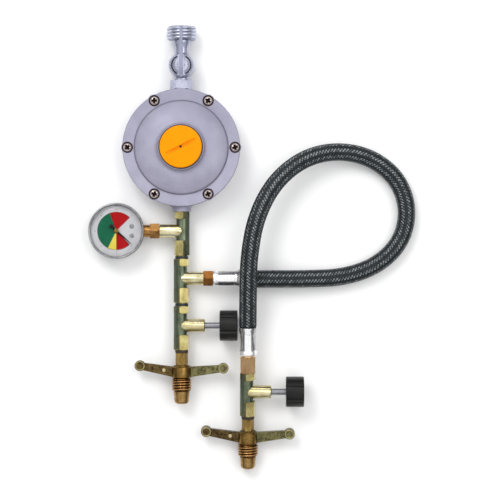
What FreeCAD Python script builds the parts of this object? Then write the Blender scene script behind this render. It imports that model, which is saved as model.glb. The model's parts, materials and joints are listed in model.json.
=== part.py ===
import FreeCAD, Part
import math
import os
from FreeCAD import Vector

# A gas regulator set for two cylinders, lying on its back. Millimetres, +Z up.
# The origin is the centre of the regulator's flat back face. +Y runs to the outlet valve.

# Driving dimensions
AXIS_HEIGHT = 17.5          # gas line above the surface that the set lies on
FLANGE_R = 66.2             # regulator flange
FOOT_R = 36.0               # flat back of the regulator
BODY_TOP = 30.0             # body's clamping face
COVER_BOTTOM = 31.2         # cover's clamping face
COVER_TOP = 35.0            # top of the cover's flange
SCREW_CIRCLE_R = 60.5
SCREW_COUNT = 6
SCREW_SEAT = 33.4           # floor of the round seats for the screw heads
EAR_R = 7.0
NECK_TOP = 53.2             # top of the cover, under the cap
CAP_R = 23.6
CAP_BOTTOM = 53.5
CAP_TOP = 57.0
GAP = 0.1                   # running clearance between turning parts

TEE_LENGTH = 49.6
TEE_FLATS = 16.2
TEE_TOP_COLLAR = 8.2
TEE_LOW_COLLAR = 16.9
TEE_RUN_R = 7.5
TEE_SHIFT = 1.4             # run's offset away from the branch
TEE_BRANCH_DROP = 22.0      # branch axis below the tee's top
TEE_TURN = 18.0             # a flat leans this far towards the branch
SPIGOT_R = 6.5
SOCKET_R = 6.6
SOCKET_DEPTH = 8.0
SPIGOT_LENGTH = 11.4
GAS_BORE_R = 3.5

TEE_1_TOP = -71.8
TEE_2_TOP = -125.3
TEE_3_TOP = -178.7

GAUGE_X = -73.4
GAUGE_R = 31.5
GAUGE_BACK = 5.0
GAUGE_TOP = 31.0

NUT_FLATS = 16.6
SPINDLE_R = 3.6
STEM_START = 30.5           # where the spindle's outer length begins
STEM_END = 60.0
KNOB_R = 17.2
KNOB_START = 43.0
KNOB_END = 63.3
KNOB_FLUTES = 6

HUB_R = 10.95
HUB_START = 68.4            # distances along the connector from the tee's top
HUB_END = 81.3
THREAD_END = 96.6
NOSE_START = 96.9
NOSE_END = 110.5
THREAD_CREST_R = 11.25
NECK_R = 7.0
NECK_END = 67.0
CORE_R = 3.9                # nipple inside the nut's bushing
GAS_WAY_R = 2.1
BUSHING_R = 7.6
NOSE_R = 9.0
NOSE_TIP_R = 8.2
NOSE_ROUNDING = 3.6
WING_REACH = 47.1
WING_RISES = {1: 4.6, -1: 7.4}
WING_TIP_R = 6.0
WING_THICK = 5.5
WING_TIP_THICK = 7.5

HOSE_R = 9.5
FERRULE_1_LENGTH = 31.6
FERRULE_2_LENGTH = 31.4
LEG_TILT = 8.1              # second leg slopes down to the surface, in degrees
TEE_4_DROP = 51.8           # second leg's tee below the ferrule's mouth

# Hose route, from the first ferrule's mouth to the second's
HOSE_ROUTE = [
    Vector(67.0, -148.0, 17.5),
    Vector(104.0, -148.0, 17.5),
    Vector(143.0, -148.0, 12.5),
    Vector(184.0, -146.2, 9.8),
    Vector(221.5, -133.2, 9.8),
    Vector(248.5, -107.0, 9.8),
    Vector(257.5, -71.0, 9.8),
    Vector(245.5, -34.8, 10.5),
    Vector(215.5, -10.5, 13.5),
    Vector(177.0, -2.5, 19.0),
    Vector(138.5, -11.0, 25.5),
    Vector(105.0, -38.0, 33.0),
    Vector(84.0, -78.0, 40.0),
    Vector(76.0, -123.0, 43.2),
    Vector(75.0, -163.7, 37.9),
    Vector(74.9, -202.3, 32.4),
]
ARC_SHARE = 0.45            # part of the shorter run that an arc takes up

CENTRE = Vector(0, 0, 0)
UP = Vector(0, 0, 1)
DOWN = Vector(0, 0, -1)
RIGHT = Vector(1, 0, 0)
LEFT = Vector(-1, 0, 0)
AWAY = Vector(0, 1, 0)
NEAR = Vector(0, -1, 0)


# Basic solids. Each is made along +Z and then aimed from a start point along a direction.

def aim(shape, start, direction):
    placed = shape.copy()
    placed.Placement = FreeCAD.Placement(start, FreeCAD.Rotation(UP, direction))
    return placed


def rod(radius, length, start=CENTRE, direction=UP):
    return aim(Part.makeCylinder(radius, length), start, direction)


def tube(outer, inner, length, start=CENTRE, direction=UP):
    wall = Part.makeCylinder(outer, length).cut(Part.makeCylinder(inner, length))
    return aim(wall, start, direction)


def lathe(outline, start=CENTRE, direction=UP):
    """Solid of revolution from (radius, height) corners."""
    corners = [Vector(radius, 0, height) for radius, height in outline]
    face = Part.Face(Part.makePolygon(corners + corners[:1]))
    return aim(face.revolve(CENTRE, UP, 360), start, direction)


def arc_outline(first, middle, last):
    """Arc through three (radius, height) points, in the lathe's plane."""
    points = [Vector(radius, 0, height) for radius, height in (first, middle, last)]
    return Part.Arc(*points).toShape()


def turned(before, arc, after):
    """Solid of revolution whose outline is corners, one arc and more corners."""
    first = Part.makePolygon([Vector(radius, 0, height) for radius, height in before])
    last = Part.makePolygon([Vector(radius, 0, height) for radius, height in after + before[:1]])
    face = Part.Face(Part.Wire(first.Edges + [arc] + last.Edges))
    return face.revolve(CENTRE, UP, 360)


def flat_sided_bar(sides, flats, length, turn=0.0):
    """Bar with a regular section; turn 0 puts a corner on local +X."""
    corner = flats / 2 / math.cos(math.pi / sides)
    points = []
    for side in range(sides + 1):
        angle = math.radians(turn + 360 * side / sides)
        points.append(Vector(corner * math.cos(angle), corner * math.sin(angle), 0))
    return Part.Face(Part.makePolygon(points)).extrude(Vector(0, 0, length))


def hexagon(flats, length, start=CENTRE, direction=UP, turn=0.0, chamfer=0.9):
    """Hexagonal bar whose corners are turned off at both ends."""
    corner = flats / math.sqrt(3)
    bar = flat_sided_bar(6, flats, length, turn)
    inner = flats / 2 + 0.1
    rise = min(chamfer, length / 3)
    turned = lathe([(0, 0), (inner, 0), (corner + 0.4, rise), (corner + 0.4, length - rise), (inner, length),
                    (0, length)])
    return aim(bar.common(turned), start, direction)


def block(size_x, size_y, size_z, centre):
    return Part.makeBox(size_x, size_y, size_z, centre - Vector(size_x / 2, size_y / 2, size_z / 2))


def round_the_circle(radius, count, height=0.0, first=0.0):
    """Points evenly spaced on a circle about the Z axis."""
    points = []
    for step in range(count):
        angle = math.radians(first + 360 * step / count)
        points.append(Vector(radius * math.cos(angle), radius * math.sin(angle), height))
    return points


def joined(first, others):
    return first.multiFuse(others).removeSplitter()


def keep(name, shape):
    """Write one piece as a STEP file after testing it."""
    if not shape.isValid():
        raise ValueError(name + " is not a valid solid")
    if not shape.Solids:
        raise ValueError(name + " holds no solid")
    shape.exportStep("parts/" + name + ".step")
    print(name, "solids", len(shape.Solids), "volume", round(shape.Volume / 1000, 2), "cm3")


# Regulator

def regulator_body():
    outside = lathe([(0, 0), (FOOT_R - 1.0, 0), (FOOT_R, 1.0), (40, 4.5), (56, 18), (58.5, 25.5),
                     (FLANGE_R, 25.5), (FLANGE_R, BODY_TOP), (0, BODY_TOP)])
    spots = round_the_circle(SCREW_CIRCLE_R, SCREW_COUNT, 25.5)
    ears = [rod(EAR_R, BODY_TOP - 25.5, point) for point in spots]
    inlet = lathe([(0, 40), (14, 40), (14, 60), (13, 65.5), (10.5, 67.1), (10.5, 71.8), (0, 71.8)],
                  Vector(0, 0, AXIS_HEIGHT), NEAR)
    outlet = rod(13, 26, Vector(0, 40, AXIS_HEIGHT), AWAY)
    shape = joined(outside, ears + [inlet, outlet])
    cavity = lathe([(0, 4), (33, 4), (49, 18.5), (51, BODY_TOP + 1), (0, BODY_TOP + 1)])
    bridge = block(14, 16, 12, Vector(0, -37, 12))
    cavity = cavity.cut(bridge)
    gas_in = rod(5.5, 60, Vector(0, -20, AXIS_HEIGHT), NEAR)
    gas_out = rod(4.5, 60, Vector(0, 30, AXIS_HEIGHT), AWAY)
    outlet_socket = rod(8.1, 12, Vector(0, 56, AXIS_HEIGHT), AWAY)
    holes = [rod(2.1, 10, point) for point in round_the_circle(SCREW_CIRCLE_R, SCREW_COUNT, 24)]
    pin_ears = joined(block(3, 8, 9, Vector(5.2, -19, 8)), [block(3, 8, 9, Vector(-5.2, -19, 8))])
    pin_hole = rod(1.25, 20, Vector(-10, -19, 8), RIGHT)
    above = block(140, 200, 10, Vector(0, 0, BODY_TOP + 5))
    for tool in [cavity, gas_in, gas_out, outlet_socket, above] + holes:
        shape = shape.cut(tool)
    return shape.fuse(pin_ears.cut(pin_hole)).removeSplitter()


def regulator_cover():
    """Flange, then a low dome with a round neck that takes the cap."""
    dome = arc_outline((52.4, 37.6), (41.0, 42.6), (28.5, 45.0))
    outside = turned([(0, COVER_BOTTOM), (FLANGE_R, COVER_BOTTOM), (FLANGE_R, COVER_TOP - 0.6),
                      (FLANGE_R - 0.6, COVER_TOP), (53, COVER_TOP), (52.4, 37.6)], dome,
                     [(28.5, 45.0), (26.6, 46.4), (26.0, 48.0), (26.0, NECK_TOP - 0.6), (25.4, NECK_TOP),
                      (0, NECK_TOP)])
    ears = [rod(EAR_R, COVER_TOP - COVER_BOTTOM, point)
            for point in round_the_circle(SCREW_CIRCLE_R, SCREW_COUNT, COVER_BOTTOM)]
    shape = joined(outside, ears)
    inside = lathe([(0, COVER_BOTTOM - 1), (49, COVER_BOTTOM - 1), (49, 35.4), (36, 41.0), (24, 42.0),
                    (24, 39.6), (20.6, 39.6), (20.6, 48.5), (22.6, 48.5), (22.6, 52.4), (24.8, 52.4),
                    (24.8, 54), (0, 54)])
    shape = shape.cut(inside)
    for point in round_the_circle(SCREW_CIRCLE_R, SCREW_COUNT, 0):
        shape = shape.cut(rod(2.8, 50, point))
        shape = shape.cut(rod(6.35, 10, point + Vector(0, 0, SCREW_SEAT)))
    return shape


def cover_screw(foot):
    """Pan-head machine screw with a cross recess, standing at the foot point."""
    head = lathe([(0, 0), (4.7, 0), (4.7, 1.7), (4.0, 2.9), (2.4, 3.5), (0, 3.6)], Vector(0, 0, SCREW_SEAT))
    shank = rod(2.0, SCREW_SEAT - 25.6, Vector(0, 0, 25.7))
    recess = joined(block(1.4, 5.6, 3, Vector(0, 0, 37)), [block(5.6, 1.4, 3, Vector(0, 0, 37))])
    screw = head.fuse(shank).cut(recess)
    screw.translate(foot)
    return screw


def cover_screws():
    return Part.makeCompound([cover_screw(point) for point in round_the_circle(SCREW_CIRCLE_R, SCREW_COUNT)])


def adjuster_cap():
    cap = lathe([(0, CAP_BOTTOM), (CAP_R, CAP_BOTTOM), (CAP_R, 56.2), (CAP_R - 0.8, CAP_TOP), (0, CAP_TOP)])
    groove = block(36, 3.2, 2.4, Vector(0, 0, CAP_TOP))
    groove.rotate(CENTRE, UP, 27)
    hole = rod(1.4, 3.0, Vector(0, 0, CAP_TOP - 2.4))
    return cap.cut(groove).cut(hole)


def cap_skirt():
    """Screwed skirt under the cap, inside the cover's neck."""
    return tube(22.5, 21.0, CAP_BOTTOM - 50.0, Vector(0, 0, 50.0))


def cap_gasket():
    return tube(24.7, 22.9, 0.5, Vector(0, 0, NECK_TOP - 0.5))


def adjusting_screw():
    disc = lathe([(0, 45.1), (20.5, 45.1), (20.5, 48.2), (7, 48.2), (7, 49.8), (0, 49.8)])
    return disc.cut(block(12, 2.0, 2.4, Vector(0, 0, 49.8)))


def upper_spring_seat():
    return lathe([(0, 44.9), (0, 43.0), (8.5, 43.0), (8.5, 42.0), (10.5, 42.0), (10.5, 43.0), (15.5, 43.0),
                  (15.5, 44.9)])


def main_spring():
    """Coil spring drawn as stacked rings on a thin backing sleeve."""
    wire = 1.1
    sleeve = tube(12.6, 12.0, 9.2, Vector(0, 0, 33.2))
    rings = [Part.makeTorus(12.3, wire, Vector(0, 0, 34.4 + 2.75 * turn)) for turn in range(3)]
    return joined(sleeve, rings)


def diaphragm():
    sheet = tube(64.5, 4.2, 1.2, Vector(0, 0, BODY_TOP))
    for point in round_the_circle(SCREW_CIRCLE_R, SCREW_COUNT, BODY_TOP - 1):
        sheet = sheet.cut(rod(2.6, 4, point))
    return sheet


def diaphragm_plate():
    """Stiffening plate with the post that hooks under the lever."""
    plate = lathe([(0, 31.4), (28, 31.4), (28, 32.9), (11, 32.9), (11, 34), (9, 34), (9, 32.9), (0, 32.9)])
    post = lathe([(0, 4.3), (3.0, 4.3), (3.0, 6.0), (2.0, 6.0), (2.0, 31.5), (0, 31.5)])
    return plate.fuse(post)


def valve_lever():
    """Bent lever on a cross pin: the long arm straddles the post and the short arm pushes the plug."""
    boss = rod(3.0, 6.8, Vector(-3.4, -19, 8), RIGHT)
    arm = block(6.8, 18, 1.8, Vector(0, -10, 8.1))
    fork = block(12, 9, 1.8, Vector(0, 1.5, 8.1))
    slot = block(4.8, 9, 4, Vector(0, 1.0, 8.1))
    upright = block(6.0, 2.0, 11.0, Vector(0, -19.4, 13.5))
    lever = joined(boss, [arm, fork, upright]).cut(slot)
    return lever.cut(rod(1.25, 10, Vector(-5, -19, 8), RIGHT))


def lever_pin():
    return rod(1.2, 13.0, Vector(-6.5, -19, 8), RIGHT)


def seat_plug():
    """Sliding plug with a rubber face that closes on the inlet nozzle."""
    return lathe([(0, 0), (3.6, 0), (3.6, 3.0), (2.6, 3.0), (2.6, 6.6), (0, 6.6)],
                 Vector(0, -21.5, AXIS_HEIGHT), NEAR)


def inlet_nozzle():
    """Brass nozzle from the chamber through the inlet boss to the first tee's socket."""
    outline = [(1.6, 0), (3.0, 0), (3.6, 1.5), (5.4, 3.5), (5.4, 41.6), (SPIGOT_R, 41.6), (SPIGOT_R, 49.2),
               (GAS_BORE_R, 49.2), (GAS_BORE_R, 8), (1.6, 5)]
    return lathe(outline, Vector(0, -30.2, AXIS_HEIGHT), NEAR)


# Outlet valve

def outlet_valve_body():
    """Ball housing with a hexagon towards the regulator and a flared neck to the outlet."""
    base = Vector(0, 66.1, AXIS_HEIGHT)
    spigot = rod(8.0, 10.0, base + Vector(0, -10, 0), AWAY)
    nut = hexagon(22.5, 11.0, base, AWAY, turn=0.0, chamfer=1.6)
    housing = lathe([(0, 4.2), (9.0, 4.2), (14.4, 9.5), (14.4, 28.5), (13.2, 31.6), (11.9, 32.8), (0, 32.8)],
                    Vector(0, 92.7, 0))
    shoulder = lathe([(0, 0), (9, 0), (9, 8), (0, 8)], Vector(0, 76.0, AXIS_HEIGHT), AWAY)
    neck = lathe([(0, 0), (8.35, 0), (8.35, 10), (10.4, 16.5), (10.4, 18.6), (0, 18.6)],
                 Vector(0, 102.9, AXIS_HEIGHT), AWAY)
    shape = joined(nut, [spigot, housing, shoulder, neck])
    chamber = rod(10.4, 20.8, Vector(0, 82.3, AXIS_HEIGHT), AWAY)
    line = rod(5.0, 80, Vector(0, 50, AXIS_HEIGHT), AWAY)
    stem_hole = rod(4.1, 20, Vector(0, 92.7, AXIS_HEIGHT))
    recess = tube(11.6, 9.8, 3.0, Vector(0, 92.7, 30.0))
    recess = recess.cut(block(9, 40, 10, Vector(0, 92.7, 32)))
    for tool in [chamber, line, stem_hole, recess]:
        shape = shape.cut(tool)
    return shape


def outlet_end():
    """Threaded outlet head, screwed on the neck; the thread is a plain shaft at its crest."""
    base = Vector(0, 121.7, AXIS_HEIGHT)
    head = lathe([(5.0, 0), (14.5, 0), (17.0, 1.0), (17.0, 13.6), (14.8, 15.6), (5.0, 15.6)], base, AWAY)
    return head


def outlet_ball():
    """Bored ball in one piece with its stem."""
    ball = Part.makeSphere(8.6, Vector(0, 92.7, AXIS_HEIGHT))
    stem = rod(4.0, 14.2, Vector(0, 92.7, AXIS_HEIGHT + 5.0))
    return ball.fuse(stem).cut(rod(5.0, 20, Vector(0, 82.7, AXIS_HEIGHT), AWAY))


def outlet_seals():
    rings = []
    for side, direction in [(-1, NEAR), (1, AWAY)]:
        start = Vector(0, 92.7 + side * 7.2, AXIS_HEIGHT)
        ring = tube(10.3, 5.2, 3.0, start, direction)
        rings.append(ring.cut(Part.makeSphere(8.68, Vector(0, 92.7, AXIS_HEIGHT))))
    return Part.makeCompound(rings)


def outlet_lever():
    """Lever: a round hub with a raised fin along the gas line."""
    hub = lathe([(0, 33.4), (9.4, 33.4), (9.4, 35.0), (7.2, 36.4), (0, 36.4)], Vector(0, 92.7, 0))
    corners = [Vector(-2.5, 81.3, 36.3), Vector(2.5, 81.3, 36.3), Vector(1.6, 134.2, 36.3),
               Vector(-1.6, 134.2, 36.3)]
    fin = Part.Face(Part.makePolygon(corners + corners[:1])).extrude(Vector(0, 0, 7.6))
    ends = [rod(2.5, 7.6, Vector(0, 81.3, 36.3)), rod(1.6, 7.6, Vector(0, 134.2, 36.3))]
    neck = block(7.0, 24.0, 1.4, Vector(0, 92.7, 36.4))
    return joined(hub, [fin, neck] + ends).cut(rod(4.02, 3.4, Vector(0, 92.7, 33.3)))


# Tees

def tee(spigot_length, lean=TEE_TURN):
    """Tee along -Y from the local origin, branch towards +X, with a male end below."""
    turn = 90.0 - lean + 30.0
    top = hexagon(TEE_FLATS, TEE_TOP_COLLAR, CENTRE, NEAR, turn)
    low = hexagon(TEE_FLATS, TEE_LOW_COLLAR, Vector(0, TEE_LOW_COLLAR - TEE_LENGTH, 0), NEAR, turn)
    run = rod(TEE_RUN_R, TEE_LENGTH - 4, Vector(-TEE_SHIFT, -2, 0), NEAR)
    branch = rod(TEE_RUN_R, 24.6, Vector(0, -TEE_BRANCH_DROP, 0), RIGHT)
    parts = [low, run, branch]
    if spigot_length:
        parts.append(rod(SPIGOT_R, spigot_length, Vector(0, -TEE_LENGTH, 0), NEAR))
    shape = joined(top, parts)
    shape = shape.cut(rod(SOCKET_R, SOCKET_DEPTH + 1, Vector(0, 1, 0), NEAR))
    shape = shape.cut(rod(GAS_BORE_R, TEE_LENGTH + spigot_length + 2, Vector(0, 1, 0), NEAR))
    return shape


def plain_tee(spigot_length, lean=TEE_TURN):
    """Tee whose branch takes a threaded joint."""
    shape = tee(spigot_length, lean)
    shape = shape.cut(rod(GAS_BORE_R, 30, Vector(0, -TEE_BRANCH_DROP, 0), RIGHT))
    return shape.cut(rod(5.6, 10, Vector(15.6, -TEE_BRANCH_DROP, 0), RIGHT))


def valve_tee():
    """Tee whose branch holds a shut-off valve; the nipple screws into its lower end."""
    branch = Vector(0, -TEE_BRANCH_DROP, 0)
    shape = tee(0.0)
    rim = lathe([(0, 24.0), (TEE_RUN_R, 24.0), (TEE_RUN_R, 25.6), (TEE_RUN_R - 0.9, 26.4), (0, 26.4)],
                branch, RIGHT)
    shape = shape.fuse(rim).removeSplitter()
    shape = shape.cut(rod(SOCKET_R, 11, Vector(0, 9 - TEE_LENGTH, 0), NEAR))
    shape = shape.cut(rod(5.2, 14.5, branch + Vector(5.5, 0, 0), RIGHT))
    shape = shape.cut(rod(SPINDLE_R + GAP, 30, branch, RIGHT))
    return shape.cut(rod(GAS_BORE_R, 8, branch, RIGHT))


def valve_plunger():
    return rod(5.1, 3.6, Vector(10.6, -TEE_BRANCH_DROP, 0), RIGHT)


def valve_spindle():
    """Screwed part of the spindle, inside the tee."""
    return lathe([(0, 14.5), (5.1, 14.5), (5.1, 19.6), (SPINDLE_R, 19.6), (SPINDLE_R, STEM_START),
                  (0, STEM_START)], Vector(0, -TEE_BRANCH_DROP, 0), RIGHT)


def valve_stem():
    """Outer length of the spindle, from in front of the tee into the knob."""
    return rod(SPINDLE_R, STEM_END - STEM_START, Vector(STEM_START, -TEE_BRANCH_DROP, 0), RIGHT)


def valve_knob():
    knob = lathe([(0, KNOB_START), (KNOB_R - 0.8, KNOB_START), (KNOB_R, KNOB_START + 0.8),
                  (KNOB_R, KNOB_END - 0.8), (KNOB_R - 0.8, KNOB_END), (0, KNOB_END)])
    for point in round_the_circle(KNOB_R + 1.4, KNOB_FLUTES, KNOB_START - 1, 22.0):
        knob = knob.cut(rod(2.6, KNOB_END - KNOB_START + 2, point))
    knob = knob.cut(rod(SPINDLE_R + 0.02, STEM_END + 0.1 - KNOB_START, CENTRE + UP * KNOB_START))
    return aim(knob, Vector(0, -TEE_BRANCH_DROP, 0), RIGHT)


# Cylinder connector, along -Y from the tee's top

def connector_nipple():
    """Hexagonal neck that screws into the tee."""
    spigot = rod(SPIGOT_R, 9.0, Vector(0, 8.6 - TEE_LENGTH, 0), NEAR)
    neck = hexagon(NECK_R * math.sqrt(3), NECK_END - TEE_LENGTH, Vector(0, -TEE_LENGTH, 0), NEAR, 0.0, 0.6)
    return neck.fuse(spigot).removeSplitter().cut(gas_way())


def gas_way():
    return rod(GAS_WAY_R, 80, Vector(0, 12 - TEE_LENGTH, 0), NEAR)


def nipple_core():
    """Plain length of the nipple, inside the wing nut."""
    return rod(CORE_R, NOSE_START - NECK_END, Vector(0, -NECK_END, 0), NEAR).cut(gas_way())


def nipple_nose():
    """Bull nose: a slightly tapered plug with a rounded end."""
    shoulder = NOSE_END - NOSE_ROUNDING
    end_r = NOSE_TIP_R - NOSE_ROUNDING
    slant = NOSE_ROUNDING * (1 - math.cos(math.radians(45)))
    arc = arc_outline((NOSE_TIP_R, shoulder), (NOSE_TIP_R - slant, NOSE_END - slant), (end_r, NOSE_END))
    plug = turned([(0, NOSE_START), (NOSE_R, NOSE_START), (NOSE_TIP_R, shoulder)], arc,
                  [(end_r, NOSE_END), (0, NOSE_END)])
    return aim(plug, CENTRE, NEAR).cut(gas_way())


def wing_nut():
    """Hub with two flat wings that lie in the plane of the line."""
    hub = lathe([(0, HUB_START), (HUB_R - 1.0, HUB_START), (HUB_R, HUB_START + 1.0), (HUB_R, HUB_END - 0.8),
                 (HUB_R - 0.8, HUB_END), (0, HUB_END)], CENTRE, NEAR)
    shape = joined(hub, [wing(1), wing(-1)])
    shape = shape.cut(rod(BUSHING_R + GAP, 40, Vector(0, -60, 0), NEAR))
    return shape.cut(rod(9.0, 12.5, Vector(0, 10 - HUB_START, 0), NEAR))


def wing(side):
    """One wing: a tapered web that ends in a round tip."""
    middle = -(HUB_START + HUB_END) / 2
    tip_y = middle + WING_RISES[side]
    corners = [
        Vector(side * 8.0, middle + 6.3, 0),
        Vector(side * WING_REACH, tip_y + 3.9, 0),
        Vector(side * WING_REACH, tip_y - 4.3, 0),
        Vector(side * 8.0, middle - 5.7, 0),
    ]
    web = Part.Face(Part.makePolygon(corners + corners[:1])).extrude(Vector(0, 0, WING_THICK))
    web.translate(Vector(0, 0, -WING_THICK / 2))
    tip = rod(WING_TIP_R, WING_TIP_THICK, Vector(side * WING_REACH, tip_y, -WING_TIP_THICK / 2))
    return web.fuse(tip)


def nut_thread():
    """Threaded sleeve in front of the wings, a plain shaft at its crest."""
    start = HUB_END
    return lathe([(BUSHING_R + GAP, start), (THREAD_CREST_R, start), (THREAD_CREST_R, THREAD_END - 1.3),
                  (THREAD_CREST_R - 1.8, THREAD_END), (BUSHING_R + GAP, THREAD_END)], CENTRE, NEAR)


def nut_bushing():
    """Flanged bushing that slides on the nipple; the nut turns on it."""
    start = HUB_START + 0.3
    end = THREAD_END - 0.4
    return lathe([(CORE_R + GAP, start), (8.8, start), (8.8, start + 1.8), (BUSHING_R, start + 1.8),
                  (BUSHING_R, end), (CORE_R + GAP, end)], CENTRE, NEAR)


# Gauge, about its own centre

def gauge_case():
    case = lathe([(0, GAUGE_BACK), (29.0, GAUGE_BACK), (30.3, GAUGE_BACK + 1.4), (30.3, 24.5), (29.1, 24.5),
                  (29.1, GAUGE_BACK + 1.4), (0, GAUGE_BACK + 1.4)])
    return case.cut(rod(7.1, 20, Vector(22, 0, AXIS_HEIGHT), RIGHT))


def gauge_bezel():
    bezel = lathe([(30.35, 22.5), (GAUGE_R, 22.5), (GAUGE_R, 30.0), (30.8, GAUGE_TOP), (29.6, GAUGE_TOP),
                   (28.9, 30.2), (28.9, 29.7), (30.35, 29.7)])
    return bezel.cut(rod(7.1, 20, Vector(22, 0, AXIS_HEIGHT), RIGHT))


def gauge_lens():
    return rod(30.2, 1.6, Vector(0, 0, 28.0))


def gauge_dial():
    dial = rod(30.1, 0.8, Vector(0, 0, 24.7))
    dial = dial.cut(rod(1.2, 3, Vector(0, 0, 24)))
    for side in (-1, 1):
        dial = dial.cut(rod(1.3, 3, Vector(17.3, 5.3 * side, 24)))
    return dial


def dial_screws():
    screws = []
    for side in (-1, 1):
        screw = lathe([(0, 22.6), (1.25, 22.6), (1.25, 25.6), (2.8, 25.6), (2.6, 26.3), (1.6, 26.8),
                       (0, 26.8)])
        screw = screw.cut(block(6, 0.7, 0.9, Vector(0, 0, 26.8)))
        screw.translate(Vector(17.3, 5.3 * side, 0))
        screws.append(screw)
    return Part.makeCompound(screws)


def gauge_pointer():
    """Pointer at its stop, with a triangular tail."""
    corners = [Vector(22.8, 0.3, 26.9), Vector(2.0, 1.2, 26.9), Vector(-4.0, 0.9, 26.9),
               Vector(-9.4, 3.2, 26.9), Vector(-9.4, -3.2, 26.9), Vector(-4.0, -0.9, 26.9),
               Vector(2.0, -1.2, 26.9), Vector(22.8, -0.3, 26.9)]
    blade = Part.Face(Part.makePolygon(corners + corners[:1])).extrude(Vector(0, 0, 0.5))
    blade.rotate(CENTRE, UP, -41)
    hub = lathe([(0, 17.0), (0.9, 17.0), (0.9, 26.2), (2.9, 26.2), (2.9, 27.3), (2.2, 27.7), (0, 27.7)])
    return blade.fuse(hub)


def gauge_socket():
    """Stem and block: the stem leaves the case towards the tee."""
    stem = rod(7.0, 15.0, Vector(22.7, 0, AXIS_HEIGHT), RIGHT)
    seat = block(16.0, 12.0, 9.0, Vector(16.0, 0, 14.5))
    spigot = rod(5.5, 20.0, Vector(37.0, 0, AXIS_HEIGHT), RIGHT)
    shape = joined(stem, [seat, spigot])
    return shape.cut(rod(2.0, 50, Vector(16.0, 0, AXIS_HEIGHT), RIGHT))


def bourdon_tube():
    """Flattened C-shaped tube from the block round to its free tip."""
    corners = [Vector(24.0, 0, 11.0), Vector(26.6, 0, 11.0), Vector(26.6, 0, 19.0), Vector(24.0, 0, 19.0)]
    face = Part.Face(Part.makePolygon(corners + corners[:1]))
    ring = face.revolve(CENTRE, UP, 250)
    ring.rotate(CENTRE, UP, 15)
    return ring.cut(rod(7.05, 15.0, Vector(22.7, 0, AXIS_HEIGHT), RIGHT))


def gauge_movement():
    """Two plates on pillars that carry the pointer's spindle."""
    low = block(26, 17, 1.2, Vector(-5.5, 0, 11.2))
    high = block(26, 17, 1.2, Vector(-5.5, 0, 21.6))
    pillars = [rod(1.6, 10.6, Vector(x, y, 11.2)) for x in (-15, 5) for y in (-6, 6)]
    shape = joined(low, [high] + pillars)
    return shape.cut(rod(1.0, 14, Vector(0, 0, 10)))


def gauge_adapter_nut():
    start = Vector(-35.7, TEE_1_TOP - TEE_BRANCH_DROP, AXIS_HEIGHT)
    nut = hexagon(NUT_FLATS, 10.4, start, RIGHT, 0.0)
    return nut.cut(rod(5.6, 30, start - Vector(1, 0, 0), RIGHT))


# Hose joint pieces

def hose_nut():
    start = Vector(24.6, TEE_2_TOP - TEE_BRANCH_DROP, AXIS_HEIGHT)
    nut = hexagon(NUT_FLATS, 10.8, start, RIGHT, 0.0)
    spigot = rod(5.5, 10.0, start - Vector(9, 0, 0), RIGHT)
    return nut.fuse(spigot).cut(rod(GAS_BORE_R, 40, start - Vector(20, 0, 0), RIGHT))


def crimped_ferrule(length, flats, collar_r, mouth_r):
    """Ferrule crimped to eight flats, round at the fitting and flared at the hose."""
    waist = flats / 2 + 0.5
    outside = lathe([(0, 0), (collar_r - 1.0, 0), (collar_r - 0.2, 1.0), (collar_r, 2.8),
                     (collar_r - 0.6, 4.6), (waist, 6.0), (waist, length - 7.4), (waist + 0.4, length - 4.4),
                     (mouth_r, length - 0.8), (mouth_r, length), (0, length)])
    middle = length - 13.4
    flats = flat_sided_bar(8, flats, middle, 22.5)
    flats.translate(Vector(0, 0, 6.0))
    round_part = tube(12, 0.01, middle, Vector(0, 0, 6.0))
    return outside.cut(round_part.cut(flats))


def hose_ferrule_1():
    shape = crimped_ferrule(FERRULE_1_LENGTH, 16.2, 9.4, 10.8)
    return aim(shape, Vector(35.4, TEE_2_TOP - TEE_BRANCH_DROP, AXIS_HEIGHT), RIGHT)


def hose_path():
    """The route's straight runs joined by tangent arcs."""
    edges = []
    radii = []
    last = HOSE_ROUTE[0]
    for before, corner, after in zip(HOSE_ROUTE, HOSE_ROUTE[1:], HOSE_ROUTE[2:]):
        run_in = corner - before
        run_out = after - corner
        cut = ARC_SHARE * min(run_in.Length, run_out.Length)
        turn = run_in.getAngle(run_out)
        radii.append(cut / math.tan(turn / 2))
        come = Vector(run_in).normalize()
        go = Vector(run_out).normalize()
        start = corner - come * cut
        end = corner + go * cut
        inward = (go - come).normalize()
        depth = radii[-1] / math.cos(turn / 2) - radii[-1]
        edges.append(Part.LineSegment(last, start).toShape())
        edges.append(Part.Arc(start, corner + inward * depth, end).toShape())
        last = end
    edges.append(Part.LineSegment(last, HOSE_ROUTE[-1]).toShape())
    return Part.Wire(edges), radii


def hose():
    path, radii = hose_path()
    way = HOSE_ROUTE[1] - HOSE_ROUTE[0]
    section = Part.Wire([Part.makeCircle(HOSE_R, HOSE_ROUTE[0], way)])
    solid = path.makePipeShell([section], True, False)
    plain_volume = math.pi * HOSE_R ** 2 * path.Length
    print("hose length", round(path.Length, 1), "radii", [round(radius, 1) for radius in radii])
    print("hose volume over section times length", round(solid.Volume / plain_volume, 4))
    return solid


# Second leg: pieces along a sloping line from the second ferrule's mouth

def on_second_leg(shape, distance):
    """Place a shape made along -Y so that it starts this far down the sloping line."""
    placed = shape.copy()
    placed.translate(Vector(0, -distance, 0))
    placed.rotate(CENTRE, RIGHT, LEG_TILT)
    placed.translate(HOSE_ROUTE[-1])
    return placed


def hose_ferrule_2():
    """Second ferrule: its mouth is up the slope, at the hose."""
    shape = crimped_ferrule(FERRULE_2_LENGTH, 17.4, 10.9, 10.2)
    ferrule = aim(shape, Vector(0, -FERRULE_2_LENGTH, 0), AWAY)
    return on_second_leg(ferrule, 0.0)


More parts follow.
